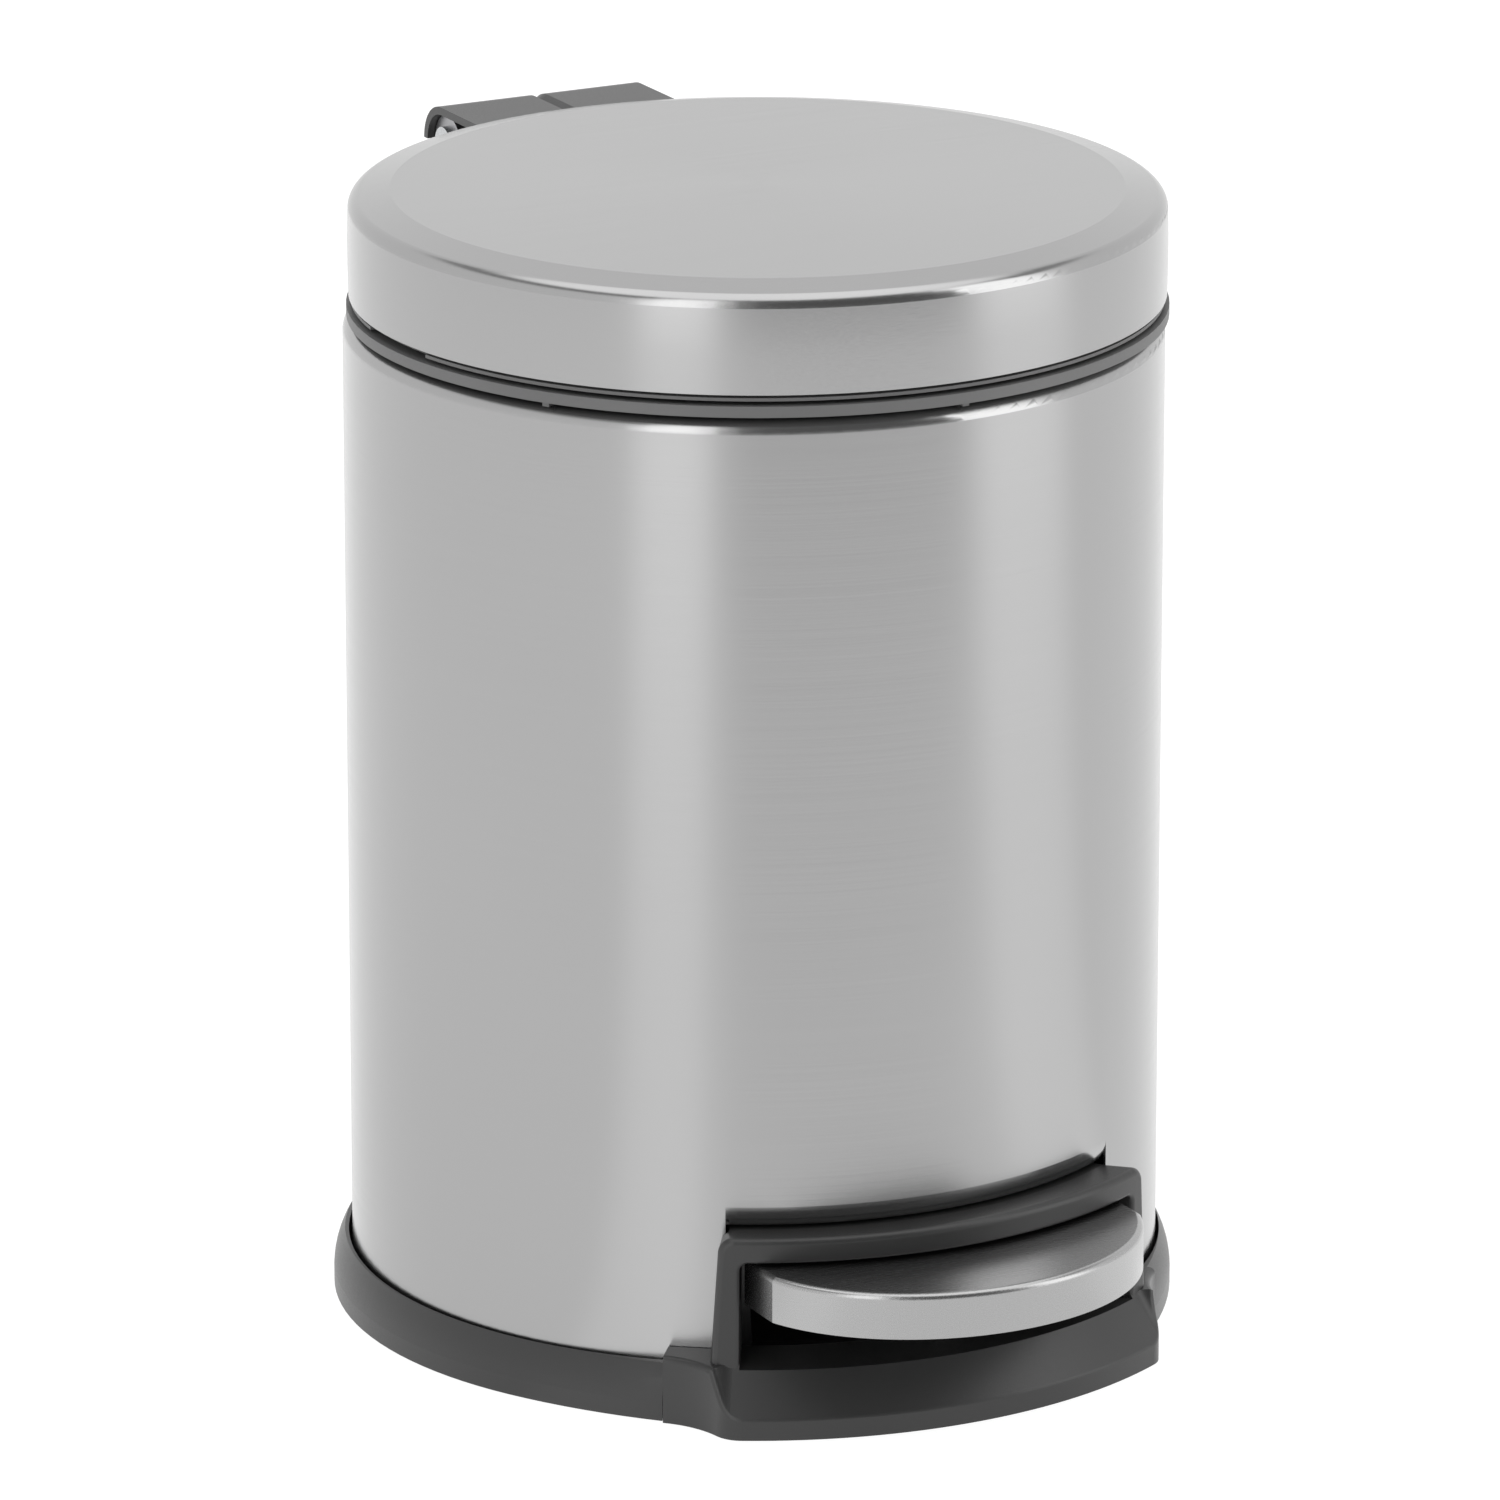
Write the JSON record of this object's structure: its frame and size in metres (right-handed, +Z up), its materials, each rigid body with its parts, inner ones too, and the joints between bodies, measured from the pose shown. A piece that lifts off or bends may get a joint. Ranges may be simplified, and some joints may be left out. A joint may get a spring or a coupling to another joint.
{
  "type": "pedal bin",
  "caption": "Round steel pedal bin: the pedal's lever pushes a rod up the back of the body to lift the hinged lid over a removable inner bucket.",
  "frame": {"origin": "on the floor, on the axis of the body's cylinder, in the middle of the base's flat underside", "axes": "+Z up along the body's axis, -Y towards the pedal (the front), +Y towards the lid hinge (the back), +X to the right of a person who faces the back of the bin from the pedal side"},
  "size_m": [0.2084, 0.2631, 0.2812],
  "materials": {
    "steel_body": "satin, finely brushed",
    "steel_lid": "satin, brushed",
    "steel_pedal": "satin, brushed",
    "steel_bar": "drawn, bright",
    "steel_strip": "zinc plated",
    "zinc_fasteners": "zinc plated",
    "dark_plastic": "fine matte grain",
    "grey_plastic": "matte",
    "white_plastic": "matte",
    "rubber": "matte"
  },
  "bodies": {
    "bin": {"body_shell": "steel_body", "pedal_housing": "dark_plastic", "base": "dark_plastic", "rubber_feet": "rubber", "housing_screws": "zinc_fasteners", "pedal_axle": "steel_bar", "axle_clips": "zinc_fasteners", "rod_guide_lower": "white_plastic", "rod_guide_upper": "white_plastic", "guide_rivets": "zinc_fasteners", "hinge_bracket": "steel_strip", "backing_plate": "steel_strip", "bracket_screws": "zinc_fasteners", "hinge_pin": "steel_bar", "pin_caps": "zinc_fasteners", "inner_bucket": "grey_plastic"},
    "lid": {"lid_shell": "steel_lid", "lid_liner": "grey_plastic", "lid_bumpers": "rubber", "hinge_arm": "dark_plastic", "lid_crank": "steel_strip", "crank_pin": "steel_bar", "arm_screws": "zinc_fasteners"},
    "pedal": {"pedal_cap": "steel_pedal", "pedal_core": "dark_plastic", "pedal_lever": "steel_strip", "lever_bushes": "white_plastic", "pedal_screws": "zinc_fasteners", "lever_tip": "white_plastic"},
    "rod": {"push_rod": "steel_bar", "rod_foot": "white_plastic", "rod_head": "steel_strip"}
  },
  "joints": [
    {"name": "lid_hinge", "type": "hinge", "parent": "bin", "child": "lid", "pos_m": [0, 0.1155, 0.268], "axis": [-1, 0, 0], "range_deg": [0, 78]},
    {"name": "pedal_pivot", "type": "hinge", "parent": "bin", "child": "pedal", "pos_m": [0, -0.055, 0.028], "axis": [1, 0, 0], "range_deg": [0, 10.8]},
    {"name": "rod_slide", "type": "slide", "parent": "bin", "child": "rod", "axis": [0, 0, 1], "range_m": [0, 0.02769]}
  ],
  "couplings": [
    {"joint": "pedal_pivot", "follows": "lid_hinge", "ratio": 0.13846},
    {"joint": "rod_slide", "follows": "lid_hinge", "m_per_rad": 0.02034}
  ]
}
